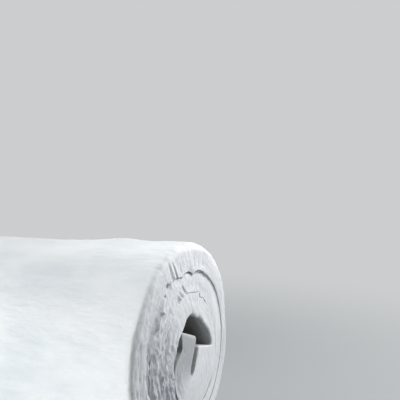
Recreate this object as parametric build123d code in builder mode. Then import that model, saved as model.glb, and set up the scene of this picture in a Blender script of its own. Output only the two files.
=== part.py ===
"""A roll of soft white insulation mat lying on its side.

The roll is one long mat wound round itself, a single piece. Its turns are pressed thin at the
lower back and stand loose at the upper front, so the hollow in the middle lies off centre.
The turns are drawn as half circles that meet on one sloping line, the seam line, which runs
from the upper front to the lower back through the roll's middle. A half circle over the seam
line is one turn going over the top. A half circle under it joins that turn's front to the back
of the next turn out, so that the whole line is a spiral. The mat's inner end stands up free in
the hollow, with a fold of the mat behind it. Nothing holds up the top of a soft roll, so it sags
between the ends.

Frame, in millimetres: X runs along the roll, +Y is the back, +Z is up. The origin is on the
floor under the middle of the roll's box.
"""

import math
import os

from build123d import *

# The roll
roll_length = 1200.0  # the mat's width, a standard one
roll_radius = 369.0  # over the top
turns = 3  # whole turns above the hollow
lean = 28.0  # slope of the seam line, in degrees down to the back

# Thickness of the mat on the seam line, in the loose front and in the pressed back
outer_front_thickness = 109.0  # in the outermost turn
outer_back_thickness = 52.0
front_thickness = 89.0  # in the turns inside it
back_thickness = 44.0

# The sag of the top, a shallow dip along the roll
sag_depth = 23.0
sag_left_margin = 20.0  # from the left end of the roll to the start of the sag
sag_right_margin = 260.0  # from its other side to the right end
sag_stretches = 4  # straight stretches that it is made of
sag_clearance = 50.0  # of the cut, over and beside the roll

# The soft cut edges
edge_radius = 16.0  # round the rim, at both ends of the roll
hollow_bevel = 12.0  # round the hollow, at both ends of the roll
corner_radius = 20.0  # across both ends of the mat
crease_radius = 8.0  # where the mat's outer end lies against the turn inside it
gap_width = 20.0  # where the soft edges of two turns part, on the roll's ends
gap_depth = 14.0

# The mat's inner end, which nothing presses. It stands up free in the hollow.
inner_thickness = 112.0
inner_gap = 28.0  # to the turn in front of it, on the seam line
inner_rise = 65.0  # above the seam line

# The fold in the mat behind its inner end, where it turns up too tightly
fold_gap = 37.0  # to the inner end
fold_rise = 46.0  # its top, above the seam line
fold_slope = 12.0  # of its top, in degrees up from its edge to the turn behind it


def front(turn):
    """Outside of a turn on the seam line, at the front. Turn 0 is the outermost."""
    if turn < 1:
        return -roll_radius
    return -(roll_radius - outer_front_thickness - (turn - 1) * front_thickness)


def back(turn):
    """Outside of a turn on the seam line, at the back. Turn -1 would be one further out."""
    if turn < 1:
        return roll_radius - turn * outer_back_thickness
    return roll_radius - outer_back_thickness - (turn - 1) * back_thickness


def half_circle(start, end):
    """Middle and radius of the half circle between two points of the seam line."""
    return (start + end) / 2, (end - start) / 2


slope = math.radians(lean)

# The roll rests on the outermost turn that goes all the way under it.
under_middle, under_radius = half_circle(front(1), back(0))
middle_height = under_radius + under_middle * math.sin(slope)

# The mat's outer end comes down the front and stops where its soft corner meets the floor.
outer_middle, outer_radius = half_circle(front(0), back(-1))
outer_height = middle_height - outer_middle * math.sin(slope)
corner_reach = outer_radius - corner_radius
outer_end_angle = math.degrees(
    math.asin((outer_height - corner_radius) / corner_reach) + math.asin(corner_radius / corner_reach)
)
outer_sweep = outer_end_angle + lean  # from the seam line round to the mat's outer end

# The sag starts and ends on the straight roll, and is deepest halfway between.
sag_start = sag_left_margin - roll_length / 2
sag_length = roll_length - sag_left_margin - sag_right_margin


def sagging_top(share):
    """Height of the top over the seam line, at a share of the sag's length."""
    return roll_radius - 4 * sag_depth * share * (1 - share)


# Box of the section, to put the origin under its middle
front_reach = outer_radius - outer_middle * math.cos(slope)
back_reach = roll_radius
middle_y = (front_reach - back_reach) / 2

middle = Vector(0, middle_y, middle_height)
section = Plane(middle, x_dir=(0, math.cos(slope), -math.sin(slope)), z_dir=(1, 0, 0))
seam_plane = Plane(middle, x_dir=section.x_dir, z_dir=section.y_dir)

# The hollow
hollow_middle, hollow_radius = half_circle(front(turns), back(turns))
inner_outside = front(turns) + inner_gap
inner_inside = inner_outside + inner_thickness
slot_middle, slot_radius = half_circle(front(turns), inner_outside)

# Between the inner end and the fold the hollow narrows to a well, which leaves the mat's free
# thickness under it.
fold_edge = inner_inside + fold_gap
well_middle, well_radius = half_circle(inner_inside, fold_edge)
well_depth = half_circle(front(turns), back(turns - 1))[1] - inner_thickness - well_radius

# The fold's top rises from its edge until it meets the hollow's wall.
fold_incline = math.radians(fold_slope)
fold_offset = fold_rise * math.cos(fold_incline) - (fold_edge - hollow_middle) * math.sin(fold_incline)
fold_angle = fold_slope + math.degrees(math.asin(fold_offset / hollow_radius))

# The gap under the mat's outer end stops where that end stops.
end_shift = (under_middle - outer_middle) * math.sin(math.radians(outer_sweep))
under_sweep = outer_sweep - math.degrees(math.asin(end_shift / under_radius))


def cut_gap(start, middle_offset, arc):
    """Cut the gap between two turns into both ends of the roll.

    It starts at a point of the seam line and runs round a point that lies middle_offset from
    the roll's middle, on the same line.
    """
    turning_line = Axis(section.from_local_coords((middle_offset, 0, 0)), (1, 0, 0))
    for end in (-1, 1):
        rim = end * roll_length / 2
        bottom = rim - end * gap_depth
        with BuildSketch(seam_plane) as gap:
            with BuildLine():
                Polyline(
                    (start - gap_width / 2, rim),
                    (start, bottom),
                    (start + gap_width / 2, rim),
                    close=True,
                )
            make_face()
        revolve(gap.sketch, axis=turning_line, revolution_arc=arc, mode=Mode.SUBTRACT)


with BuildPart() as mat_roll:
    # Outline: the outermost turn over the top, the one under the roll, and the outer end
    with BuildSketch(section) as outline:
        with BuildLine():
            over = CenterArc((0, 0), roll_radius, 0, 180)
            outer = CenterArc((outer_middle, 0), outer_radius, 180, outer_sweep)
            Polyline(outer @ 1, (outer_middle, 0), over @ 0)
        make_face()
        with BuildLine():
            under = CenterArc((under_middle, 0), under_radius, 180, 180)
            Line(under @ 1, under @ 0)
        make_face()
        fillet(outline.vertices().sort_by_distance(outer @ 1)[1], crease_radius)
        fillet(outline.vertices().sort_by_distance(outer @ 1)[0], corner_radius)
        # The hollow, with the mat's inner end standing in it and the fold behind
        with BuildLine():
            hollow = CenterArc((hollow_middle, 0), hollow_radius, fold_angle, 180 - fold_angle)
            CenterArc((slot_middle, 0), slot_radius, 180, 180)
            FilletPolyline(
                (inner_outside, 0),
                (inner_outside, inner_rise),
                (inner_inside, inner_rise),
                (inner_inside, -well_depth),
                radius=corner_radius,
            )
            CenterArc((well_middle, -well_depth), well_radius, 180, 180)
            FilletPolyline(
                (fold_edge, -well_depth),
                (fold_edge, fold_rise),
                hollow @ 0,
                radius=corner_radius,
            )
        make_face(mode=Mode.SUBTRACT)
    extrude(amount=roll_length / 2, both=True)
    for end in (0, -1):
        fillet(mat_roll.faces().sort_by(Axis.X)[end].outer_wire().edges(), edge_radius)
        chamfer(mat_roll.faces().sort_by(Axis.X)[end].inner_wires().edges(), hollow_bevel)

    # The sag of the top: a block over the roll, less the top that stays
    with BuildPart(mode=Mode.PRIVATE) as sag:
        with BuildSketch(section.offset(sag_start)):
            Rectangle(
                2 * (roll_radius + sag_clearance),
                roll_radius + sag_clearance,
                align=(Align.CENTER, Align.MIN),
            )
        extrude(amount=sag_length)
        for step in range(sag_stretches + 1):
            share = step / sag_stretches
            with BuildSketch(section.offset(sag_start + share * sag_length)):
                with BuildLine():
                    top = ThreePointArc((roll_radius, 0), (0, sagging_top(share)), (-roll_radius, 0))
                    Line(top @ 1, top @ 0)
                make_face()
        loft(ruled=True, mode=Mode.SUBTRACT)
    add(sag.part, mode=Mode.SUBTRACT)

    # Gaps between the turns, from the mat's outer end inwards
    cut_gap(front(1), under_middle, under_sweep)
    for turn in range(1, turns):
        cut_gap(back(turn), half_circle(front(turn), back(turn))[0], 180)
        cut_gap(front(turn + 1), half_circle(front(turn + 1), back(turn))[0], 180)

mat_roll.part.label = "mat_roll"

os.makedirs("parts", exist_ok=True)
export_step(mat_roll.part, "parts/mat_roll.step")
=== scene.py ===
"""The insulation roll: one long soft white mat wound round itself, lying on its side.

The mat is one closed mesh. It is laid out in columns along the winding, from the mat's outer
end at the foot of the front to its inner end in the hollow. A column runs through the mat's
thickness, from a point of the line that its outer face follows to one of its inner face's line.
The cut ends of the roll have a fine grid, and the faces between them a coarser one.

A point of the mat also has a place in the flat mat, as it was before it was wound: the distance
along it, the depth under its outer face and the place across it. The relief and the materials
are worked out from that place, so that cuts and layers follow the winding.

All sizes are in metres. The roll's section has its own axes: u, along the sloping seam line on
which the half circles of the winding meet, and v, square to it.
"""

import itertools
import math

import bmesh
import bpy
import numpy as np
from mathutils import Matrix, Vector


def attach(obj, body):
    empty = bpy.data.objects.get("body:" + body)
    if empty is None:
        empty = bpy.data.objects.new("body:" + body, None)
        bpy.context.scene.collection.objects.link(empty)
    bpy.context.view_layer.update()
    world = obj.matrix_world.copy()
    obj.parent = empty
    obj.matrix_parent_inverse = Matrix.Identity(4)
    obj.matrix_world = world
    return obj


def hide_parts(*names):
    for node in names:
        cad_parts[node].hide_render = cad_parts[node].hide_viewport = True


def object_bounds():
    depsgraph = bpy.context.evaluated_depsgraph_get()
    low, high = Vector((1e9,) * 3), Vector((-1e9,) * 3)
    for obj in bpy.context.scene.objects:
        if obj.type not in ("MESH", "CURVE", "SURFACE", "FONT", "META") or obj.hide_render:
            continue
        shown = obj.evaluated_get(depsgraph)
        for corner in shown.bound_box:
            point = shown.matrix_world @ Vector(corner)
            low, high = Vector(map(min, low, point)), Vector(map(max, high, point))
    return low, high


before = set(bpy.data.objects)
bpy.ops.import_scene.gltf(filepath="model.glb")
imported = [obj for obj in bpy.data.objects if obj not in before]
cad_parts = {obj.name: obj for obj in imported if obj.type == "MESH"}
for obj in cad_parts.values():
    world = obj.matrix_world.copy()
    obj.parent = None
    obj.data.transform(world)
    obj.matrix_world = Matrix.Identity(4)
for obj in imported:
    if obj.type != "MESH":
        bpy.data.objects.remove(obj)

cad_low, cad_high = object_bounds()

# The winding, as in the CAD
ROLL_RADIUS = 0.369
TURNS = 3
LEAN = math.radians(28)
OUTER_FRONT_THICKNESS = 0.109
OUTER_BACK_THICKNESS = 0.052
FRONT_THICKNESS = 0.089
BACK_THICKNESS = 0.044
CORNER_RADIUS = 0.02
INNER_THICKNESS = 0.112
INNER_GAP = 0.028
INNER_RISE = 0.065
FOLD_GAP = 0.037
FOLD_RISE = 0.046
FOLD_SLOPE = math.radians(12)
SAG_DEPTH = 0.023
SAG_LEFT_MARGIN = 0.02
SAG_RIGHT_MARGIN = 0.26
HALF_LENGTH = (cad_high.x - cad_low.x) / 2

# Soft forms of the mat's inner end that the CAD doesn't have, for its outer and its inner face:
# how far its foot stands to the back, how far its top leans to the back from there, and its
# height and the rounding of its corner as shares of the CAD's. A lean below 0 is to the front.
INNER_SHIFT = (0.016, 0.010)
INNER_LEAN = (-0.027, 0.001)
INNER_HEIGHT = (0.85, 1.05)
INNER_ROUNDING = (0.35, 1)
SLOT_FOOT = math.radians(206)  # where the inner end leaves the turn in front of it

# A dip and a hump in the top near the right end: place across the mat, and depth or height
DIP = (0.44, 0.004)
HUMP = (0.32, 0.003)
DIP_REACH = 0.09  # of both, along the roll

# How the mesh is divided
COLUMN = 0.004  # along the mat, on the cut ends
ROUND_STEPS = 4  # round each edge of a cut end
FACE_STEPS = 22  # across a cut end, between its rounded edges
SHOWN_STEP = 4  # columns to one column of a face that shows
HIDDEN_STEP = 8
SHOWN_ROWS = 79  # across the mat, on a face that shows
HOLLOW_ROWS = 41
HIDDEN_ROWS = 7
FIRST_ROW = 0.03  # from the cut end to the first row of a face
SECOND_ROW = 0.07  # from there to the second row of a hidden face
THIRD_ROW = 0.3  # from the middle across the mat to the third row


class Noise:
    """A smooth random field of up to three coordinates, the same on every run."""

    GAIN = 1.6  # brings the values to about -1 to 1

    def __init__(self, seed):
        rng = np.random.default_rng(seed)
        self.table = np.tile(rng.permutation(256), 2)
        slopes = rng.normal(size=(256, 3))
        self.slopes = slopes / np.linalg.norm(slopes, axis=1, keepdims=True)

    def __call__(self, x, y=0.0, z=0.0):
        place = np.stack(np.broadcast_arrays(x, y, z), -1).astype(float)
        cell = np.floor(place).astype(int)
        part = place - cell
        ease = part**3 * (part * (part * 6 - 15) + 10)
        total = 0
        for corner in itertools.product((0, 1), repeat=3):
            a, b, c = (cell[..., k] + corner[k] & 255 for k in range(3))
            slope = self.slopes[self.table[self.table[self.table[a] + b] + c]]
            share = np.where(corner, ease, 1 - ease).prod(-1)
            total = total + share * ((part - corner) * slope).sum(-1)
        return total * self.GAIN


def smooth(low, high, x):
    """0 below low, 1 above high, and an even bend between them."""
    part = np.clip((x - low) / (high - low), 0, 1)
    return part * part * (3 - 2 * part)


# Section


def front(turn):
    """Outside of a turn on the seam line, at the front. Turn 0 is the outermost."""
    if turn < 1:
        return -ROLL_RADIUS
    return -(ROLL_RADIUS - OUTER_FRONT_THICKNESS - (turn - 1) * FRONT_THICKNESS)


def back(turn):
    """Outside of a turn on the seam line, at the back. Turn -1 would be one further out."""
    if turn < 1:
        return ROLL_RADIUS - turn * OUTER_BACK_THICKNESS
    return ROLL_RADIUS - OUTER_BACK_THICKNESS - (turn - 1) * BACK_THICKNESS


def half_circle(start, end):
    """Middle and radius of the half circle between two points of the seam line."""
    return (start + end) / 2, (end - start) / 2


# The lines that part the turns, as half circles over and under the seam line. Line 0 is the
# roll's outside, and the last one over the seam line is the hollow's wall.
OVER = [half_circle(front(k), back(k)) for k in range(TURNS + 1)]
UNDER = [half_circle(front(k), back(k - 1)) for k in range(TURNS + 1)]

MIDDLE_HEIGHT = UNDER[1][1] + UNDER[1][0] * math.sin(LEAN)
MIDDLE_Y = (UNDER[0][1] - UNDER[0][0] * math.cos(LEAN) - ROLL_RADIUS) / 2

# The mat's outer end, where its corner meets the floor
outer_height = MIDDLE_HEIGHT - UNDER[0][0] * math.sin(LEAN)
corner_reach = UNDER[0][1] - CORNER_RADIUS
OUTER_SWEEP = (
    LEAN
    + math.asin((outer_height - CORNER_RADIUS) / corner_reach)
    + math.asin(CORNER_RADIUS / corner_reach)
)
end_shift = (UNDER[1][0] - UNDER[0][0]) * math.sin(OUTER_SWEEP)
UNDER_SWEEP = OUTER_SWEEP - math.asin(end_shift / UNDER[1][1])

# The mat's inner end and the fold behind it
INNER_OUTSIDE = front(TURNS) + INNER_GAP
INNER_INSIDE = INNER_OUTSIDE + INNER_THICKNESS
FOLD_EDGE = INNER_INSIDE + FOLD_GAP
WELL_RADIUS = FOLD_GAP / 2
WELL_DEPTH = UNDER[TURNS][1] - INNER_THICKNESS - WELL_RADIUS
fold_offset = FOLD_RISE * math.cos(FOLD_SLOPE) - (FOLD_EDGE - OVER[TURNS][0]) * math.sin(FOLD_SLOPE)
FOLD_ANGLE = FOLD_SLOPE + math.asin(fold_offset / OVER[TURNS][1])


def on_circle(circle, angle):
    """Points of a circle whose middle is on the seam line, with the way out from its middle."""
    way = np.stack((np.cos(angle), np.sin(angle)), -1)
    return way * circle[1] + (circle[0], 0), way


# How each gap between two turns runs over the seam line, on the end that the camera sees: the
# angle round its circle's middle in degrees, how far it bends outwards, and half its width.
# Angle 0 is at the back and 180 at the front. Line 0 is the outside and the last one the
# hollow's ragged rim.
GAP_RUNS = {
    0: (
        (0, 0, 0), (20, -0.001, 0), (38, -0.005, 0), (50, 0.002, 0), (61, 0.006, 0),
        (72, 0.006, 0), (84, 0.003, 0), (96, 0.001, 0), (106, 0.002, 0), (120, 0, 0),
        (180, 0, 0),
    ),
    1: (
        (0, 0.002, 0.0010), (18, 0.004, 0.0010), (33, 0.001, 0.0008), (48, 0.001, 0.0007),
        (62, 0.003, 0.0007), (71, 0.001, 0.0008), (80, -0.002, 0.0008), (91, -0.004, 0.0007),
        (96, -0.002, 0.0007), (102, -0.003, 0.0007), (107, -0.004, 0.0004),
        (110, -0.009, 0.0003), (112.5, -0.018, 0.0010), (116, -0.008, 0.0016),
        (119.5, -0.003, 0.0018), (123, -0.001, 0.0008), (127, 0, 0.0003),
        (129.5, -0.009, 0.0003), (131, -0.004, 0.0006), (134, 0.0025, 0.0008),
        (137, 0.0085, 0.0008), (143, 0.022, 0.0003), (147, 0.024, 0.0003), (150, 0.024, 0.0006),
        (152.5, 0.018, 0.0003), (155.4, 0.010, 0.0004), (158, 0.008, 0.0002),
        (166, 0.003, 0.0002), (180, 0.002, 0.0002),
    ),
    2: (
        (0, 0, 0.0002), (30, -0.012, 0.0002), (55, -0.020, 0.0002), (74, -0.022, 0.0003),
        (77, -0.022, 0.0007), (80, -0.020, 0.0004), (83.6, -0.020, 0.0009),
        (88, -0.016, 0.0003), (91.8, -0.015, 0.0008), (95, -0.019, 0.0004),
        (97, -0.019, 0.0010), (99.3, -0.011, 0.0008), (102, 0, 0.0005), (107, -0.002, 0.0007),
        (112, -0.004, 0.0007), (117.7, 0.001, 0.0004), (123, 0.004, 0.0003),
        (129, 0.009, 0.0003), (140, 0.008, 0.0003), (165, 0.003, 0.0002), (180, 0, 0.0002),
    ),
    3: (
        (0, 0, 0), (20, -0.001, 0), (35, -0.0024, 0), (45, -0.008, 0), (50, -0.011, 0),
        (56, -0.016, 0), (62, -0.020, 0), (68, -0.025, 0), (75, -0.026, 0), (81, -0.028, 0),
        (86, -0.023, 0), (92, -0.022, 0), (98.6, -0.018, 0), (104, -0.022, 0), (110, -0.018, 0),
        (117, -0.0064, 0), (122.5, 0.001, 0), (128, 0.0014, 0), (134, 0, 0), (138, 0.001, 0),
        (141.4, -0.0045, 0), (147, -0.0085, 0), (152.4, -0.013, 0), (161.5, -0.0106, 0),
        (172, -0.008, 0), (180, -0.006, 0),
    ),
}
# Size of the gaps' random bends: on the rim, and over and under the seam line
RIM_WAVER = 0.0016
OVER_WAVER = 0.002
UNDER_WAVER = 0.004
UNDER_HALF = 0.0012  # half width of a gap under the roll
FAR_END = 0.6  # bends at the left end, as a share of those at the right end
gap_noise = Noise(11)


def gap_run(line, over, angle, end):
    """How far a gap bends outwards at one end of the roll, and half its width there."""
    turn = angle * 180 / math.pi
    if line == 0:
        bend = RIM_WAVER * gap_noise(angle * 14, 3.7, end * 5.3)
        if over and end > 0:
            at, outwards, _ = np.array(GAP_RUNS[0]).T
            bend = bend + np.interp(turn, at, outwards)
        return bend, np.zeros_like(angle)
    if over:
        at, bend, half = np.array(GAP_RUNS[line]).T
        if end < 0:
            at = at + 7 * np.sin(at * math.pi / 180) * (line - 2.4)
            bend = FAR_END * bend
        share = np.sin(np.clip(angle, 0, math.pi))
        waver = OVER_WAVER * share * gap_noise(angle * 30, line * 7.1, end * 3.3)
        bend = np.interp(turn, at, bend) + waver
        return bend, np.interp(turn, at, half)
    share = np.sin(np.clip(angle - math.pi, 0, math.pi))
    bend = UNDER_WAVER * share * gap_noise(angle * 9, line * 4.3, end * 6.1)
    start = GAP_RUNS[line][-1][2] if line in GAP_RUNS else 0
    last = GAP_RUNS[line - 1][0][2] if line > 1 else 0
    half = np.interp(turn, (180, 200, 340, 360), (start, UNDER_HALF, UNDER_HALF, last))
    return bend, half


def soften(points, width):
    """Points moved to the mean of their neighbours, so that a corner turns soft."""
    reach = 3 * width
    steps = np.arange(-reach, reach + 1)
    weight = np.exp(-(steps**2) / (2 * width**2))
    weight = weight / weight.sum()
    first, last = (np.repeat(point, reach, 0) for point in (points[:1], points[-1:]))
    padded = np.concatenate((first, points, last))
    return np.stack([np.convolve(padded[:, k], weight, "valid") for k in range(2)], -1)


def lengths_to(points):
    """Length of a line of points from its start to each of them."""
    steps = np.linalg.norm(np.diff(points, axis=0), axis=1)
    return np.concatenate(([0], np.cumsum(steps)))


def along_path(corners, share):
    """Points at the given shares of a path's length."""
    corners = np.array(corners)
    length = lengths_to(corners)
    return np.stack([np.interp(share * length[-1], length, corners[:, k]) for k in range(2)], -1)


def count(length):
    """Number of columns in a length along the mat."""
    return max(2, round(length / COLUMN))


def lay_out():
    """The columns of the mat, from its outer end to its inner end.

    Each value is a list over the columns. Of the two lines, 0 is the outer face's and 1 the
    inner face's. place and way are their points and the ways out of the roll there, bend and
    half are each gap's bend and half width for both ends of the roll, and shown says that the
    face shows.
    """
    stretches = []

    def stretch(outer, inner, angles, lines, over, shown):
        """Add the columns between two half circles, at the given angles of both."""
        out_place, out_way = on_circle(outer, angles[0])
        in_place, in_way = on_circle(inner, angles[1])
        runs = [
            [gap_run(line, over, angle, end) for line, angle in zip(lines, angles)]
            for end in (-1, 1)
        ]
        n = len(angles[0])
        stretches.append(
            dict(
                place=np.stack((out_place, in_place), 1),
                way=np.stack((out_way, in_way), 1),
                bend=np.array([[run[0] for run in end] for end in runs]).transpose(2, 0, 1),
                half=np.array([[run[1] for run in end] for end in runs]).transpose(2, 0, 1),
                shown=np.repeat([shown], n, 0),
                soft=np.zeros(n),
            )
        )

    # The outer end comes down the front, so it is laid out from the floor up.
    n = count(UNDER[1][1] * UNDER_SWEEP)
    angles = [np.linspace(math.pi + sweep, math.pi, n + 1) for sweep in (OUTER_SWEEP, UNDER_SWEEP)]
    stretch(UNDER[0], UNDER[1], angles, (0, 1), False, (1, 0))
    for turn in range(TURNS):
        shown = (turn == 0, turn == TURNS - 1)
        n = count(math.pi * (OVER[turn][1] + OVER[turn + 1][1]) / 2)
        angles = [np.linspace(math.pi, 0, n + 1)] * 2
        stretch(OVER[turn], OVER[turn + 1], angles, (turn, turn + 1), True, shown)
        inner = UNDER[turn + 2] if turn + 2 <= TURNS else UNDER[turn + 1]
        n = count(math.pi * (UNDER[turn + 1][1] + inner[1]) / 2)
        angles = [np.linspace(2 * math.pi, math.pi, n + 1)] * 2
        stretch(UNDER[turn + 1], inner, angles, (turn + 1, turn + 2), False, shown)
    # The first column of a stretch is the last one of the stretch before it.
    mat = {
        key: np.concatenate([s[key][1 if k else 0 :] for k, s in enumerate(stretches)])
        for key in stretches[0]
    }
    starts = np.cumsum([0] + [len(s["place"]) - 1 for s in stretches])
    return mat, starts


def shape_hollow(mat, starts):
    """Give the innermost turn its fold, its well and its upright inner end."""
    over, under, last = starts[-3], starts[-2], starts[-1]
    place, way, bend, half = (mat[key] for key in ("place", "way", "bend", "half"))
    crease_reach = 15  # columns

    # The inner face leaves the hollow's wall at the fold, and comes up again at the inner end.
    angle = np.linspace(math.pi, 0, under - over + 1)
    crease = over + int(np.argmax(angle < FOLD_ANGLE))
    well = WELL_RADIUS - INNER_SHIFT[1] / 2
    bottom = [
        (FOLD_EDGE + well * (math.cos(a) - 1), -WELL_DEPTH - well * math.sin(a))
        for a in np.linspace(0, math.pi, 9)
    ]
    wall = on_circle(OVER[TURNS], np.array(FOLD_ANGLE))[0]
    path = [tuple(wall), (FOLD_EDGE, FOLD_RISE), *bottom, (INNER_INSIDE + INNER_SHIFT[1], 0)]
    n = last - crease
    place[crease:, 1] = along_path(path, np.arange(n + 1) / n)
    window = slice(crease - crease_reach, last + 1)
    place[window, 1] = soften(place[window, 1], 4)
    bend[crease:, :, 1] *= smooth(crease_reach, 0, np.arange(n + 1))[:, None]
    half[crease:, :, 1] = 0

    # Its outer face leaves the turn in front at the foot of the slot.
    turned = np.linspace(2 * math.pi, math.pi, last - under + 1)
    lift = smooth(SLOT_FOOT, math.pi, turned)
    place[under:, 0] -= way[under:, 0] * (lift * (INNER_GAP + INNER_SHIFT[0]))[:, None]
    mat["shown"][under + np.argmax(lift > 0) :, 0] = 1
    bend[under:, :, 0] *= (1 - lift)[:, None]
    half[under:, :, 0] *= (1 - lift)[:, None]

    # The inner end stands up free and leans a little to the front.
    rise = np.concatenate(
        (
            np.linspace(0, INNER_RISE - CORNER_RADIUS, count(INNER_RISE - CORNER_RADIUS) + 1)[1:],
            INNER_RISE - CORNER_RADIUS + CORNER_RADIUS * np.sin(np.linspace(0, math.pi / 2, 7)[1:]),
        )
    )
    tip = np.clip((rise - INNER_RISE + CORNER_RADIUS) / CORNER_RADIUS, 0, 1)
    pull = CORNER_RADIUS * (1 - np.sqrt(1 - tip**2))
    new = dict(place=np.zeros((len(rise), 2, 2)), way=np.zeros((len(rise), 2, 2)))
    for line, (start, side) in enumerate(((INNER_OUTSIDE, 1), (INNER_INSIDE, -1))):
        lean = INNER_LEAN[line] * smooth(0, INNER_RISE, rise)
        u = start + INNER_SHIFT[line] + lean + side * pull * INNER_ROUNDING[line]
        new["place"][:, line] = np.stack((u, rise * INNER_HEIGHT[line]), -1)
        new["way"][:, line] = (-1, 0)
    for key in ("bend", "half"):
        new[key] = np.zeros((len(rise), 2, 2))
    new["shown"] = np.ones((len(rise), 2), int)
    new["soft"] = np.ones(len(rise))
    mat["soft"][under:] = smooth(260, 190, np.degrees(turned))
    mat["way"][under:, 1] = way[under:, 0]
    return {key: np.concatenate((mat[key], new[key])) for key in mat}, crease


def shape_outer_end(mat):
    """Round the outer corner of the mat's outer end, which stands on the floor."""
    steps = count(CORNER_RADIUS)
    share = 1 - np.arange(steps) / steps
    pull = CORNER_RADIUS * (1 - np.sqrt(1 - (share * 0.98) ** 2))
    mat["place"][:steps, 0] -= mat["way"][:steps, 0] * pull[:, None]
    return mat


mat, starts = lay_out()
mat, crease = shape_hollow(mat, starts)
mat = shape_outer_end(mat)
columns = len(mat["place"])
middle_line = mat["place"].mean(1)
length_along = lengths_to(middle_line)

# The outermost turn's underside shows until the mat's outer end covers it.
second = slice(starts[2], starts[3])
turned = np.linspace(2 * math.pi, math.pi, starts[3] - starts[2] + 1)[:-1]
covered = turned < math.pi + UNDER_SWEEP + math.radians(2)
mat["shown"][second, 0] = ~covered
mat["half"][second, :, 0] *= covered[:, None]

U_AXIS = np.array((math.cos(LEAN), -math.sin(LEAN)))
V_AXIS = np.array((math.sin(LEAN), math.cos(LEAN)))
wave = Noise(21)
cut = Noise(31)
face_noise = Noise(41)


# Size of the roll's random dents, along Y and Z
DENT_BACK = 0.004
DENT_UP = 0.0025


def to_world(across, section):
    """Points in the row frame, from the place across the mat and the place in the section.

    The top sags between the ends, and the roll is nowhere quite round.
    """
    start, end = SAG_LEFT_MARGIN - HALF_LENGTH, HALF_LENGTH - SAG_RIGHT_MARGIN
    reach = (across - (start + end) / 2) / ((end - start) / 2)
    sag = SAG_DEPTH * np.clip(1 - reach**2, 0, 1)
    sag = sag + DIP[1] * smooth(DIP_REACH, 0, np.abs(across - DIP[0]))
    hump = HUMP[1] * smooth(DIP_REACH, 0, np.abs(across - HUMP[0]))
    # The sag fades out towards the seam line and the inside of the roll.
    share = smooth(0, 0.16, section[..., 1]) * smooth(0.2, 0.36, np.linalg.norm(section, axis=-1))
    section = section - np.stack((np.zeros_like(across), (sag - hump) * share), -1)
    y = MIDDLE_Y + section[..., 0] * U_AXIS[0] + section[..., 1] * V_AXIS[0]
    z = MIDDLE_HEIGHT + section[..., 0] * U_AXIS[1] + section[..., 1] * V_AXIS[1]
    free = smooth(0.02, 0.2, z)
    dent_y = DENT_BACK * wave(across * 3 + 9, y * 3, z * 3) * free
    dent_z = DENT_UP * wave(across * 4, y * 4, z * 4) * free
    return np.stack((across, y + dent_y, np.maximum(z + dent_z, 0)), -1)


# How far the gaps' bends reach in from the cut ends, on the hollow's wall and between turns
WALL_REACH = 0.06
GAP_REACH = 0.25


def lines_at(column, across):
    """The points of the two lines of a column at a place across the mat, and the ways out there."""
    depth = {end: HALF_LENGTH - end * across for end in (-1, 1)}
    place = mat["place"][column].copy()
    way = mat["way"][column]
    for k, end in enumerate((-1, 1)):
        for line in (0, 1):
            reach = WALL_REACH if line and mat["shown"][column, 1].all() else GAP_REACH
            share = smooth(reach, 0.2 * reach, depth[end])[..., None]
            bend = mat["bend"][column, k, line][..., None]
            place[..., line, :] += way[..., line, :] * (bend * share)
    mean_half = mat["half"][column].mean(-2)
    half = mean_half
    for k, end in enumerate((-1, 1)):
        near = smooth(0.2, 0.04, depth[end])[..., None]
        half = half + near * (mat["half"][column][..., k, :] - mean_half)
    place[..., 0, :] -= way[..., 0, :] * half[..., 0, None]
    place[..., 1, :] += way[..., 1, :] * half[..., 1, None]
    return place, way


# Marks of the cut on the end that the camera sees, between two points of the section: u and v of
# both, half the width, and the depth of a groove or less than 0 for a ridge.
MARKS = (
    ((-0.266, 0.226), (-0.224, 0.190), 0.0030, 0.0055),
    ((-0.238, 0.234), (-0.190, 0.203), 0.0028, 0.0062),
    ((-0.251, 0.226), (-0.207, 0.196), 0.0040, -0.0040),
    ((-0.224, 0.234), (-0.176, 0.205), 0.0040, -0.0030),
    ((-0.190, 0.250), (-0.170, 0.230), 0.0030, 0.0040),
    ((-0.134, 0.190), (-0.096, 0.181), 0.0030, 0.0065),
    ((-0.146, 0.167), (-0.113, 0.160), 0.0030, 0.0055),
    ((-0.150, 0.156), (-0.128, 0.152), 0.0045, -0.006),
    ((-0.155, 0.144), (-0.137, 0.135), 0.0036, 0.0034),
    ((-0.215, 0.163), (-0.226, 0.176), 0.0060, -0.006),
    ((-0.102, 0.309), (-0.081, 0.280), 0.0050, 0.002),
    ((-0.068, 0.319), (-0.050, 0.290), 0.0050, 0.002),
    ((-0.030, 0.329), (-0.013, 0.302), 0.0050, 0.002),
    ((-0.254, 0.112), (-0.256, 0.071), 0.0060, -0.012),
    ((-0.256, 0.071), (-0.263, 0.020), 0.0060, -0.010),
    ((-0.244, 0.104), (-0.248, 0.040), 0.0070, 0.006),
    ((-0.322, 0.170), (-0.330, 0.100), 0.0046, -0.003),
)
# Pits in the same end: u and v, radius and depth
PITS = ((-0.243, 0.157, 0.0066, 0.022), (-0.244, 0.122, 0.0070, 0.010))
# Painted shade of a pit, for each metre of its depth
PIT_PAINTED_SHADE = 100  # for each metre of depth

# Heights of the cut's relief: on the whole end, and what is added where it is fully torn
TUFTS = (0.0005, 0.0016)
LAYERS = (0.0003, 0.0042)
FIBRE = (0.0003, 0.0009)  # added at the loose front
STROKES = (0.0004, 0.0004)  # added at the top
RIDGES = 0.0082  # only where it is torn
DEEPEST = 0.006  # that all of these go down together
PLANE_WAVER = 0.004
TURN_WAVER = 0.002
VALLEY = 0.004  # from the middle of a turn to its edges
RECESS = 0.002  # of the mat's inner end


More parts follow.
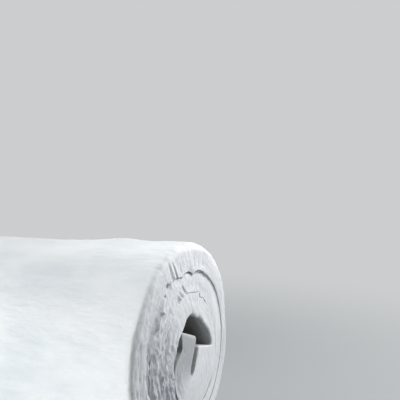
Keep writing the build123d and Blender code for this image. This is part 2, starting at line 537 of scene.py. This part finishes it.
def open_share(half):
    """How far a gap is open, from 0 to 1, for half its width."""
    return smooth(0.0004, 0.0014, half)


def relief(section, along, depth, thickness, end, soft, half):
    """How far a cut end stands out of its plane, the painted shade of its dips, grooves, pits and
    loose front, and how torn it is.

    Directions round the roll's middle are in degrees: 0 is the back, 90 the top, 180 the front.
    The factors of along and depth in a call of cut are the noise's cells to the metre.
    """
    share = depth / thickness
    y = section[..., 0] * U_AXIS[0] + section[..., 1] * V_AXIS[0]
    z = section[..., 0] * U_AXIS[1] + section[..., 1] * V_AXIS[1]
    direction = np.degrees(np.arctan2(z, y))
    to_front = smooth(85, 25, np.abs((direction - 190 + 180) % 360 - 180))
    to_top = smooth(80, 30, np.abs(direction - 95))
    # The outermost turn is the least torn.
    torn = to_front * (0.3 + 0.7 * smooth(0.30, 0.262, np.linalg.norm(section, axis=-1)))
    seed = 17.3 * end
    # The cut plane wavers, and each turn stands a little in or out and swells between its edges.
    height = PLANE_WAVER * cut(along * 1.6, share * 0.7, seed)
    height = height + TURN_WAVER * cut(along * 7, share * 2, seed + 2)
    opened = 0.25 + 0.75 * open_share(half)
    side = np.where(share < 0.5, opened[:, :1], opened[:, 1:])
    height = height - VALLEY * side * (2 * share - 1) ** 2 * (1 - soft)
    # Tufts
    tufts = 1 - 2 * np.abs(cut(along * 38, depth * 80, seed + 4))
    fine = (TUFTS[0] + TUFTS[1] * torn) * tufts * (1 - 0.7 * to_top)
    # Strokes of the blade across the mat's thickness
    sway = along + 0.008 * cut(along * 9, share * 1.8, seed + 6)
    stroke = cut(sway * 80, share * 1.3, seed + 8) + 0.7 * cut(sway * 150, share * 2.4, seed + 9)
    fine = fine + (STROKES[0] + STROKES[1] * to_top) * stroke * (1 - 0.7 * to_front)
    # Layers of the mat, which the blade pulled apart at the loose front
    bent = depth + 0.008 * cut(along * 9, share * 2, seed + 10)
    layer = cut(along * 24, bent * 85, seed + 12) + 0.9 * cut(along * 46, bent * 160, seed + 13)
    ridges = cut(along * 4.5, bent * 40, seed + 15) + 0.6 * cut(along * 11, bent * 70, seed + 16)
    fine = fine + (LAYERS[0] + LAYERS[1] * torn) * layer + RIDGES * torn * ridges
    # Loose fibre
    loose = FIBRE[0] + FIBRE[1] * to_front
    fine = fine + loose * cut(along * 90, depth * 150, seed + 14)
    fine = np.where(fine < 0, DEEPEST * np.tanh(fine / DEEPEST), fine)
    # Painted shade in the relief's dips and over the loose front, less at the mat's inner end.
    painted_relief_shade = np.maximum(0.8 * smooth(0.0005, 0.008, -fine), 0.5 * to_front) * (1 - 0.7 * soft)
    height = (height + fine) * (1 - 0.7 * soft) - RECESS * soft
    if end > 0:
        for a, b, half_width, mark_depth in MARKS:
            a, b = np.array(a), np.array(b)
            run = b - a
            at = np.clip(((section - a) @ run) / (run @ run), 0, 1)
            off = np.linalg.norm(section - a - at[..., None] * run, axis=-1)
            mark = np.exp(-((off / half_width) ** 2)) * (0.55 + 0.45 * at)
            height = height - mark_depth * mark
            # A groove gets painted shade, and a ridge loses it.
            painted_relief_shade = np.maximum(painted_relief_shade, mark * smooth(0.002, 0.012, mark_depth))
            painted_relief_shade = painted_relief_shade * (1 - mark * (mark_depth < 0))
        for u, v, radius, pit_depth in PITS:
            off = np.linalg.norm(section - (u, v), axis=-1)
            hole = np.exp(-((off / radius) ** 2))
            height = height - pit_depth * hole
            # A pit gets painted shade by its depth.
            painted_relief_shade = np.maximum(painted_relief_shade, PIT_PAINTED_SHADE * pit_depth * hole)
    return height, painted_relief_shade, torn * (1 - soft)


# Heights of the skin's relief
SKIN_BROAD = 0.0030
SKIN_WRINKLES = 0.0014
SKIN_SMALL = 0.0008


def face_relief(along, across, amount):
    """How far a face of the mat stands out between its cut ends."""
    broad = SKIN_BROAD * face_noise(along * 3.1, across * 2.3)
    wrinkles = SKIN_WRINKLES * face_noise(along * 13, across * 3.4, 3.3)
    small = SKIN_SMALL * face_noise(along * 18, across * 15, 6.6)
    return amount * (broad + wrinkles + small)


# Radius of a cut end's edges: round the rim, at the rim's top, where a gap is open, where it is
# closed, and round the hollow
RIM_RADIUS = 0.015
TOP_RADIUS = 0.027
GAP_RADIUS = 0.0022
CLOSED_RADIUS = 0.001
HOLLOW_RADIUS = 0.007
LARGEST_RADIUS = 0.35  # as a share of the mat's thickness


def edge_radii(column):
    """Radius of the two edges of a cut end in a column, larger at the rim's top."""
    shown = mat["shown"][column]
    half = mat["half"][column].mean(1)
    tight = CLOSED_RADIUS + (GAP_RADIUS - CLOSED_RADIUS) * smooth(0.0004, 0.002, half)
    y, z = (mat["place"][column, 0] @ np.stack((U_AXIS, V_AXIS))).T
    above = smooth(45, 15, np.abs(np.degrees(np.arctan2(z, y)) - 97))
    rim = RIM_RADIUS + (TOP_RADIUS - RIM_RADIUS) * above
    outside = np.where(column < starts[-2], rim, HOLLOW_RADIUS)
    open_edge = np.stack((outside, np.full(len(column), HOLLOW_RADIUS)), -1)
    return np.where(shown > 0, open_edge, tight)


radii = soften(edge_radii(np.arange(columns)), 3)


class Builder:
    """Collects the vertices and faces of the mat."""

    def __init__(self):
        self.points, self.places, self.marks, self.faces = [], [], [], []
        self.total = 0

    def add(self, points, places, marks):
        """Add vertices, and give their numbers in the same arrangement."""
        points = np.asarray(points)
        flat = points.reshape(-1, 3)
        self.points.append(flat)
        self.places.append(np.asarray(places).reshape(-1, 3))
        self.marks.append(np.asarray(marks).reshape(-1, 3))
        numbers = np.arange(self.total, self.total + len(flat)).reshape(points.shape[:-1])
        self.total += len(flat)
        return numbers

    def grid(self, numbers):
        """Add the faces of a grid of vertices."""
        corners = (numbers[:-1, :-1], numbers[1:, :-1], numbers[1:, 1:], numbers[:-1, 1:])
        self.faces.extend(map(tuple, np.stack(corners, -1).reshape(-1, 4).tolist()))

    def bridge(self, a, a_at, b, b_at):
        """Add the faces between two lines of vertices that may be divided differently."""
        if len(a) == len(b):
            self.faces.extend((a[k], a[k + 1], b[k + 1], b[k]) for k in range(len(a) - 1))
            return
        i = j = 0
        while i < len(a) - 1 or j < len(b) - 1:
            if j == len(b) - 1 or (i < len(a) - 1 and a_at[i + 1] <= b_at[j + 1]):
                self.faces.append((a[i], a[i + 1], b[j]))
                i += 1
            else:
                self.faces.append((a[i], b[j + 1], b[j]))
                j += 1


FRAY = 0.0035
SKIN_REACH = (0.004, 0.020)  # depths between which the skin gives way to the cut

# Painted shade at the mat's inner end, on the hollow's wall and in the slot
INNER_PAINTED_SHADE = 0.75
WALL_PAINTED_SHADE = 0.5
SLOT_PAINTED_SHADE = 0.6
PAINTED_SHADE_START = 8  # columns, from where the hollow or the slot begins to its full shade


def build_end(builder, end):
    """The fine grid of one cut end. Its rows go from the outer face to the inner one.

    The marks that it gives the material are how far the end is cut, with 1 more where it is torn,
    the painted shade of the gaps and holes, and painted shade by how deep inside the hollow it is.
    """
    column = np.arange(columns)
    place, way = lines_at(column, np.full(columns, end * HALF_LENGTH))
    run = place[:, 1] - place[:, 0]
    thickness = np.linalg.norm(run, axis=1)
    inwards = run / thickness[:, None]
    r_out, r_in = (np.minimum(radii[:, k], LARGEST_RADIUS * thickness) for k in (0, 1))
    outer_rows, inner_rows = slice(0, ROUND_STEPS + 1), slice(-ROUND_STEPS - 1, None)
    bend = np.linspace(0, math.pi / 2, ROUND_STEPS + 1)
    depth = np.concatenate(
        (
            r_out[:, None] * (1 - np.cos(bend)),
            r_out[:, None]
            + (thickness - r_out - r_in)[:, None] * np.arange(1, FACE_STEPS) / FACE_STEPS,
            thickness[:, None] - r_in[:, None] * (1 - np.cos(bend[::-1])),
        ),
        1,
    )
    proud = np.concatenate((np.sin(bend), np.ones(FACE_STEPS - 1), np.sin(bend[::-1])))
    rounding = np.concatenate(
        (
            r_out[:, None] * (np.sin(bend) - 1),
            np.zeros((columns, FACE_STEPS - 1)),
            r_in[:, None] * (np.sin(bend[::-1]) - 1),
        ),
        1,
    )
    section = place[:, :1] + inwards[:, None] * depth[..., None]
    along = np.broadcast_to(length_along[:, None], depth.shape)
    half = mat["half"][:, 0 if end < 0 else 1]
    soft = mat["soft"][:, None]
    height, painted_relief_shade, torn = relief(section, along, depth, thickness[:, None], end, soft, half)
    # A mark deeper than the relief also sinks the edges of a gap that it crosses.
    in_first_half = depth < 0.5 * thickness[:, None]
    closed = 1 - np.where(in_first_half, mat["shown"][:, :1], mat["shown"][:, 1:])
    sunk = np.minimum(height + DEEPEST, 0) * (1 - proud) * closed
    across = end * (HALF_LENGTH + rounding + proud * height + sunk)
    # The faces that show carry their own relief up to the rounding, and an open gap gets painted
    # shade.
    painted_shade = np.zeros_like(depth)
    for rows, line, sign in ((outer_rows, 0, 1), (inner_rows, 1, -1)):
        shown = mat["shown"][:, line, None]
        stand = face_relief(along[:, rows], across[:, rows], shown * (1 - proud[rows]))
        section[:, rows] += sign * way[:, line, None] * stand[..., None]
        opened = open_share(half[:, line])[:, None]
        painted_shade[:, rows] = (1 - shown) * (1 - proud[rows]) ** 0.7 * opened
    # The relief's painted shade fades over the rounded edges, and a pit's is kept in full.
    painted_shade = np.clip(np.maximum(painted_shade, np.maximum(0.5 * painted_relief_shade * proud, painted_relief_shade - 1)), 0, 1)
    # Painted shade on the mat's inner end in the hollow, and a painted highlight along its top
    # edge, which gets neither that shade nor the cut's tone.
    tip = smooth(5, 1, columns - 1 - column)[:, None]
    painted_shade = np.maximum(painted_shade, INNER_PAINTED_SHADE * soft * (1 - tip))
    # Painted shade on the hollow's wall and in the slot, growing from where each begins, over their
    # rounded edges.
    inside = np.zeros_like(depth)
    hollow, slot = (
        smooth(0, PAINTED_SHADE_START, np.minimum(column - start, columns - 1 - column))
        for start in (starts[-3], starts[-2])
    )
    slot = slot * mat["shown"][:, 0]
    inside[:, inner_rows] = WALL_PAINTED_SHADE * hollow[:, None] * (1 - proud[inner_rows])
    inside[:, outer_rows] = SLOT_PAINTED_SHADE * slot[:, None] * (1 - proud[outer_rows])
    outmost = (mat["shown"][:, :1] * (column < starts[3])[:, None]) * in_first_half
    # The rim frays a little, most in the middle of its rounding.
    fray = 0.6 * cut(along * 42, 0, 83 + end) + 0.5 * cut(along * 105, 0, 85 + end)
    on_rim = 1 - np.abs(2 * proud - 1)
    edge = on_rim[outer_rows] * mat["shown"][:, :1]
    section[:, outer_rows] += way[:, 0, None] * (FRAY * fray[:, outer_rows] * edge)[..., None]
    # The skin reaches a little way round the rim.
    skin_end = smooth(*SKIN_REACH, depth + 2 * FRAY * fray) * outmost
    skin_end = skin_end + (1 - outmost) * smooth(0.25, 0.95, proud + 0.5 * fray * on_rim)
    marks = np.stack((skin_end * (1 + torn) * (1 - tip), painted_shade, inside), -1)
    places = np.stack((along, depth, across), -1)
    return builder.add(to_world(across, section), places, marks)


def rows_across(rows):
    """Places across the mat of a face's rows, without the cut ends."""
    edge = HALF_LENGTH - FIRST_ROW
    if rows == HIDDEN_ROWS:
        second = edge - SECOND_ROW
        return np.array((-edge, -second, -THIRD_ROW, 0, THIRD_ROW, second, edge))
    return np.linspace(-edge, edge, rows)


def face_columns(line):
    """The columns of a face's coarser grid, with the number of rows of each."""
    chosen = [0]
    while chosen[-1] < columns - 1:
        now = chosen[-1]
        shown = mat["shown"][now, line] and mat["shown"][min(now + 1, columns - 1), line]
        step = SHOWN_STEP if shown else HIDDEN_STEP
        limit = now + step
        if not shown:
            ahead = np.flatnonzero(mat["shown"][now : limit + 1, line])
            if len(ahead) and ahead[0] > 0:
                limit = now + ahead[0]
        chosen.append(min(limit, columns - 1))
    rows = []
    for column in chosen:
        if column in (0, columns - 1):
            rows.append(HOLLOW_ROWS)
        elif not mat["shown"][column, line]:
            rows.append(HIDDEN_ROWS)
        elif line == 0 and column < starts[3]:
            rows.append(SHOWN_ROWS)
        else:
            rows.append(HOLLOW_ROWS)
    return chosen, rows


# How far in from the cut ends the painted shade of the hollow grows, on its wall and at the inner
# end
WALL_FADE = 0.12
INNER_FADE = 0.04


def build_face(builder, line, ends):
    """The coarser grid of one face of the mat, sewn to the fine grids of the two cut ends."""
    chosen, rows = face_columns(line)
    side = 0 if line == 0 else -1
    sign = 1 if line == 0 else -1
    strips = []
    for column, count_across in zip(chosen, rows):
        across = rows_across(count_across)
        picked = np.full(len(across), column)
        place, way = lines_at(picked, across)
        section = place[:, line]
        along = np.full(len(across), length_along[column])
        amount = float(mat["shown"][column, line])
        section = section + sign * way[:, line] * face_relief(along, across, amount)[:, None]
        thickness = np.linalg.norm(place[:, 1] - place[:, 0], axis=1)
        depth = np.zeros(len(across)) if line == 0 else thickness
        # Faces that don't show, between the turns, get full painted shade, and faces inside the
        # roll get painted shade that grows in from the cut ends.
        inside = float(line == 1 or column >= starts[3] or not mat["shown"][column, line])
        reach = WALL_FADE if column < crease else INNER_FADE
        hollow_shade = inside * smooth(-0.02, reach, HALF_LENGTH - np.abs(across))
        marks = np.stack((np.zeros_like(hollow_shade), np.full(len(across), 1 - amount), hollow_shade), -1)
        places = np.stack((along, depth, across), -1)
        numbers = builder.add(to_world(across, section), places, marks)
        strips.append((numbers, across))
    for k in range(len(chosen) - 1):
        (a, a_at), (b, b_at) = strips[k], strips[k + 1]
        builder.bridge(a.tolist(), a_at, b.tolist(), b_at)
        for end, pick in ((-1, 0), (1, -1)):
            fine = ends[end][chosen[k] : chosen[k + 1] + 1, side]
            at = length_along[chosen[k] : chosen[k + 1] + 1]
            pair = [int(a[pick]), int(b[pick])]
            if len(fine) == 2:
                builder.faces.append((int(fine[0]), int(fine[1]), pair[1], pair[0]))
            else:
                builder.bridge(fine.tolist(), at, pair, [at[0], at[-1]])
    return strips


# Heights of the relief on the mat's outer and inner end, and the thickness of the mat there that
# the material is given
CAP_CROWN = 0.004
CAP_TUFTS = 0.0012
CAP_THICKNESS = 0.1


def build_cap(builder, column, faces, ends):
    """Close the mat at its outer or inner end."""
    outer, inner = (faces[line][0 if column == 0 else -1] for line in (0, 1))
    across = outer[1]
    place = lines_at(np.full(len(across), column), across)[0]
    share = np.linspace(0, 1, ROUND_STEPS * 2 + FACE_STEPS + 1)[1:-1]
    section = place[:, 0, None] + (place[:, 1] - place[:, 0])[:, None] * share[None, :, None]
    beyond = middle_line[column] - middle_line[column + (1 if column == 0 else -1)]
    beyond = beyond / np.linalg.norm(beyond)
    tufts = cut(share * 9, across[:, None] * 20, 71)
    crown = CAP_CROWN * np.sin(math.pi * share) + CAP_TUFTS * tufts
    section = section + beyond * crown[..., None]
    places = np.zeros(section.shape[:2] + (3,))
    places[..., 0] = length_along[column]
    places[..., 1] = share * CAP_THICKNESS
    places[..., 2] = across[:, None]
    marks = np.zeros_like(places)
    points = to_world(np.broadcast_to(across[:, None], section.shape[:2]), section)
    inside = builder.add(points, places, marks)
    rows = np.concatenate((outer[0][:, None], inside, inner[0][:, None]), 1)
    rows = np.concatenate((ends[-1][column][None], rows, ends[1][column][None]), 0)
    builder.grid(rows)


def build_mat():
    """The mat as one closed mesh, with its places and marks for the material."""
    builder = Builder()
    ends = {end: build_end(builder, end) for end in (-1, 1)}
    for end in (-1, 1):
        builder.grid(ends[end])
    faces = [build_face(builder, line, ends) for line in (0, 1)]
    for column in (0, columns - 1):
        build_cap(builder, column, faces, ends)
    mesh = bpy.data.meshes.new("mat_roll_soft")
    mesh.from_pydata(np.concatenate(builder.points).tolist(), [], builder.faces)
    for name, values in (("mat_place", builder.places), ("mat_marks", builder.marks)):
        attribute = mesh.attributes.new(name, "FLOAT_VECTOR", "POINT")
        attribute.data.foreach_set("vector", np.concatenate(values).astype(np.float32).ravel())
    work = bmesh.new()
    work.from_mesh(mesh)
    bmesh.ops.recalc_face_normals(work, faces=work.faces)
    work.to_mesh(mesh)
    work.free()
    mesh.shade_smooth()
    roll = bpy.data.objects.new("mat_roll_soft", mesh)
    bpy.context.collection.objects.link(roll)
    return roll


# Materials

BUMP_STRENGTH = 0.6


def wool_material():
    """White wool: matte and faintly mottled, cooler where it is cut, with painted shade in the
    gaps, holes and hollow.
    """
    material = bpy.data.materials.new("wool")
    material.use_nodes = True
    tree = material.node_tree
    nodes, links = tree.nodes, tree.links
    shader = nodes["Principled BSDF"]
    shader.inputs["Roughness"].default_value = 0.95
    shader.inputs["Specular IOR Level"].default_value = 0.15
    shader.inputs["Sheen Weight"].default_value = 0.2
    shader.inputs["Sheen Roughness"].default_value = 0.6
    shader.inputs["Subsurface Weight"].default_value = 0.12
    shader.inputs["Subsurface Radius"].default_value = (1.0, 1.0, 1.0)
    shader.inputs["Subsurface Scale"].default_value = 0.004

    def node(kind, **values):
        """A node with its settings and the values of its inputs."""
        made = nodes.new(kind)
        for key, value in values.items():
            if hasattr(made, key):
                setattr(made, key, value)
            else:
                made.inputs[key.replace("_", " ")].default_value = value
        return made

    place = node("ShaderNodeAttribute", attribute_name="mat_place")
    # How far a point is cut, the painted shade of gaps, holes and the inner end, and the painted
    # shade deep in the hollow
    marks = node("ShaderNodeAttribute", attribute_name="mat_marks")
    split = node("ShaderNodeSeparateXYZ")
    links.new(marks.outputs["Vector"], split.inputs[0])

    def noise(scale, detail, stretch):
        """Noise over the place in the flat mat: along it, into its depth and across it."""
        mapping = node("ShaderNodeMapping")
        mapping.inputs["Scale"].default_value = stretch
        links.new(place.outputs["Vector"], mapping.inputs["Vector"])
        made = node("ShaderNodeTexNoise", Scale=scale, Detail=detail, Roughness=0.55)
        links.new(mapping.outputs[0], made.inputs["Vector"])
        return made.outputs[0]

    def mix(factor, a, b):
        """Colour a where the factor is 0 and b where it is 1. Either may be a node's output."""
        made = node("ShaderNodeMix", data_type="RGBA")
        for socket, value in ((made.inputs[6], a), (made.inputs[7], b)):
            if isinstance(value, tuple):
                socket.default_value = (*value, 1)
            else:
                links.new(value, socket)
        links.new(factor, made.inputs[0])
        return made.outputs[2]

    def ramp(value, low, high, start=0.0, end=1.0):
        """The value brought from low and high to start and end, with a smooth bend."""
        made = node("ShaderNodeMapRange", interpolation_type="SMOOTHSTEP")
        links.new(value, made.inputs["Value"])
        limits = {"From Min": low, "From Max": high, "To Min": start, "To Max": end}
        for key, number in limits.items():
            made.inputs[key].default_value = number
        return made.outputs[0]

    mottle = ramp(noise(5.0, 7, (1.0, 1.0, 0.5)), 0.38, 0.66)
    streak = ramp(noise(26.0, 4, (1.0, 1.0, 0.22)), 0.42, 0.75, 0.0, 0.6)
    skin = mix(mottle, (0.85, 0.86, 0.865), (0.72, 0.75, 0.768))
    skin = mix(streak, skin, (0.83, 0.85, 0.865))
    layers = ramp(noise(9.0, 6, (1.0, 6.0, 1.0)), 0.38, 0.7)
    is_cut = node("ShaderNodeMath", operation="MINIMUM")
    links.new(split.outputs[0], is_cut.inputs[0])
    is_cut.inputs[1].default_value = 1.0
    torn = ramp(split.outputs[0], 1.0, 2.0)
    whole = ramp(split.outputs[0], 0.2, 0.9, 1.0, 0.12)
    # Where the cut is torn its tone is darker, partly its own tone and partly painted shade of the
    # pulled-apart layers.
    high_tone = mix(torn, (0.875, 0.882, 0.905), (0.81, 0.825, 0.86))
    low_tone = mix(torn, (0.82, 0.83, 0.858), (0.67, 0.69, 0.745))
    cut_tone = mix(layers, high_tone, low_tone)
    tone = mix(is_cut.outputs[0], skin, cut_tone)
    # Painted shade in the gaps, grooves and pits, over the cut's loose front and on the mat's inner
    # end.
    tone = mix(split.outputs[1], tone, (0.33, 0.34, 0.36))
    # Painted shade deep inside the hollow.
    tone = mix(split.outputs[2], tone, (0.29, 0.295, 0.27))
    links.new(tone, shader.inputs["Base Color"])

    # Bumps: scale, detail and stretch of the noise, height, and where they are
    bumps = None
    for scale, detail, stretch, distance, share in (
        (62.0, 5, (0.35, 1.6, 1.0), 0.009, torn),
        (16.0, 6, (1.0, 1.0, 0.35), 0.014, whole),
        (60.0, 3, (1.0, 1.0, 0.22), 0.005, whole),
        (110.0, 4, (1.0, 1.0, 1.0), 0.0014, None),
        (420.0, 3, (1.0, 0.5, 0.16), 0.0004, None),
        (420.0, 3, (0.16, 1.0, 1.0), 0.0004, None),
    ):
        bump = node("ShaderNodeBump", Strength=BUMP_STRENGTH, Distance=distance)
        links.new(noise(scale, detail, stretch), bump.inputs["Height"])
        if share is not None:
            strength = node("ShaderNodeMath", operation="MULTIPLY")
            links.new(share, strength.inputs[0])
            strength.inputs[1].default_value = BUMP_STRENGTH
            links.new(strength.outputs[0], bump.inputs["Strength"])
        if bumps is not None:
            links.new(bumps, bump.inputs["Normal"])
        bumps = bump.outputs[0]
    links.new(bumps, shader.inputs["Normal"])
    return material


roll = build_mat()
roll.data.materials.append(wool_material())
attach(roll, "root")
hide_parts("mat_roll")

# Surroundings

BACKDROP = (0.60, 0.615, 0.62, 1)
AMBIENT = (0.114, 0.120, 0.127, 1)
FLOOR_REACH = 60.0


def seen(nodes, links):
    """1 for rays from the camera, mirrors and glass, and 0 for the light that reaches the roll."""
    path = nodes.new("ShaderNodeLightPath")
    total = None
    for name in ("Is Camera Ray", "Is Glossy Ray", "Is Transmission Ray"):
        if total is None:
            total = path.outputs[name]
            continue
        either = nodes.new("ShaderNodeMath")
        either.operation = "MAXIMUM"
        links.new(total, either.inputs[0])
        links.new(path.outputs[name], either.inputs[1])
        total = either.outputs[0]
    return total


def floor_material():
    """Pale grey near the roll, where its shadow falls, and the backdrop's tone further out."""
    material = bpy.data.materials.new("floor_grey")
    material.use_nodes = True
    nodes, links = material.node_tree.nodes, material.node_tree.links
    shader = nodes["Principled BSDF"]
    shader.inputs["Base Color"].default_value = (0.40, 0.41, 0.415, 1)
    shader.inputs["Roughness"].default_value = 0.9
    place = nodes.new("ShaderNodeNewGeometry")
    distance = nodes.new("ShaderNodeVectorMath")
    distance.operation = "LENGTH"
    links.new(place.outputs["Position"], distance.inputs[0])
    far = nodes.new("ShaderNodeMapRange")
    far.interpolation_type = "SMOOTHSTEP"
    far.inputs["From Min"].default_value = 1.0
    far.inputs["From Max"].default_value = 3.2
    links.new(distance.outputs["Value"], far.inputs["Value"])
    share = nodes.new("ShaderNodeMath")
    share.operation = "MULTIPLY"
    links.new(far.outputs[0], share.inputs[0])
    links.new(seen(nodes, links), share.inputs[1])
    glow = nodes.new("ShaderNodeEmission")
    glow.inputs["Color"].default_value = BACKDROP
    glow.inputs["Strength"].default_value = 1.0
    mix = nodes.new("ShaderNodeMixShader")
    links.new(share.outputs[0], mix.inputs[0])
    links.new(shader.outputs[0], mix.inputs[1])
    links.new(glow.outputs[0], mix.inputs[2])
    links.new(mix.outputs[0], nodes["Material Output"].inputs["Surface"])
    return material


def make_floor():
    """The floor under the roll, which isn't part of the object."""
    size = FLOOR_REACH
    corners = [(-size, -size, 0), (size, -size, 0), (size, size, 0), (-size, size, 0)]
    mesh = bpy.data.meshes.new("floor")
    mesh.from_pydata(corners, [], [(0, 1, 2, 3)])
    floor = bpy.data.objects.new("floor", mesh)
    bpy.context.collection.objects.link(floor)
    floor.data.materials.append(floor_material())


LAMP_COLOUR = (0.955, 0.975, 0.98)
# Place, the point that it faces, width and height, and watts
LAMPS = {
    "window": ((1.975, 4.1, 3.625), (0.1, 0.1, 0.5), (4.0, 2.25), 240),
    "low_front": ((-1.975, -5.5, 0.49), (-0.1, 0, 0.3), (3.25, 1.0), 100),
    "front": ((-3.225, -4.75, 1.175), (-0.1, 0, 0.3), (3.25, 1.75), 270),
    "over_right_end": ((1.5, 0.5, 1.9), (0.6, 0, 0.6), (0.9, 0.7), 21),
}


def make_lamp(name, place, towards, size, watts):
    """A lamp with a flat face, turned to a point."""
    data = bpy.data.lights.new(name, "AREA")
    data.shape = "RECTANGLE"
    data.size, data.size_y = size
    data.energy = watts
    data.color = LAMP_COLOUR
    lamp = bpy.data.objects.new(name, data)
    lamp.location = place
    lamp.rotation_euler = (Vector(towards) - Vector(place)).to_track_quat("-Z", "Y").to_euler()
    bpy.context.collection.objects.link(lamp)


def make_light():
    """The lamps, and a world that lights less than it shows."""
    for name, values in LAMPS.items():
        make_lamp(name, *values)
    world = bpy.data.worlds.new("studio")
    world.use_nodes = True
    bpy.context.scene.world = world
    nodes, links = world.node_tree.nodes, world.node_tree.links
    pick = nodes.new("ShaderNodeMix")
    pick.data_type = "RGBA"
    pick.inputs[6].default_value = AMBIENT
    pick.inputs[7].default_value = BACKDROP
    links.new(seen(nodes, links), pick.inputs[0])
    background = nodes["Background"]
    links.new(pick.outputs[2], background.inputs["Color"])
    background.inputs["Strength"].default_value = 1.0


# The photo's camera: lengths in pixels of a picture 400 wide, and its place and direction
PICTURE_WIDTH = 400
FOCAL_LENGTH = 636
HORIZON_HEIGHT = 51  # over the picture's middle
CAMERA_PLACE = (1.4662, -1.8901, 1.0201)
CAMERA_AZIMUTH = math.radians(23.4)  # from the back to the left
SENSOR_WIDTH = 36.0


def make_camera():
    """The camera of the photo."""
    pitch = math.atan(HORIZON_HEIGHT / FOCAL_LENGTH)
    left = math.sin(CAMERA_AZIMUTH) * math.cos(pitch)
    back = math.cos(CAMERA_AZIMUTH) * math.cos(pitch)
    forward = Vector((-left, back, -math.sin(pitch)))
    data = bpy.data.cameras.new("camera")
    data.sensor_width = SENSOR_WIDTH
    data.lens = SENSOR_WIDTH * FOCAL_LENGTH / PICTURE_WIDTH
    camera = bpy.data.objects.new("camera", data)
    camera.location = CAMERA_PLACE
    camera.rotation_euler = forward.to_track_quat("-Z", "Y").to_euler()
    bpy.context.collection.objects.link(camera)
    bpy.context.scene.camera = camera


make_floor()
make_light()
make_camera()
bpy.context.scene.view_settings.view_transform = "Standard"
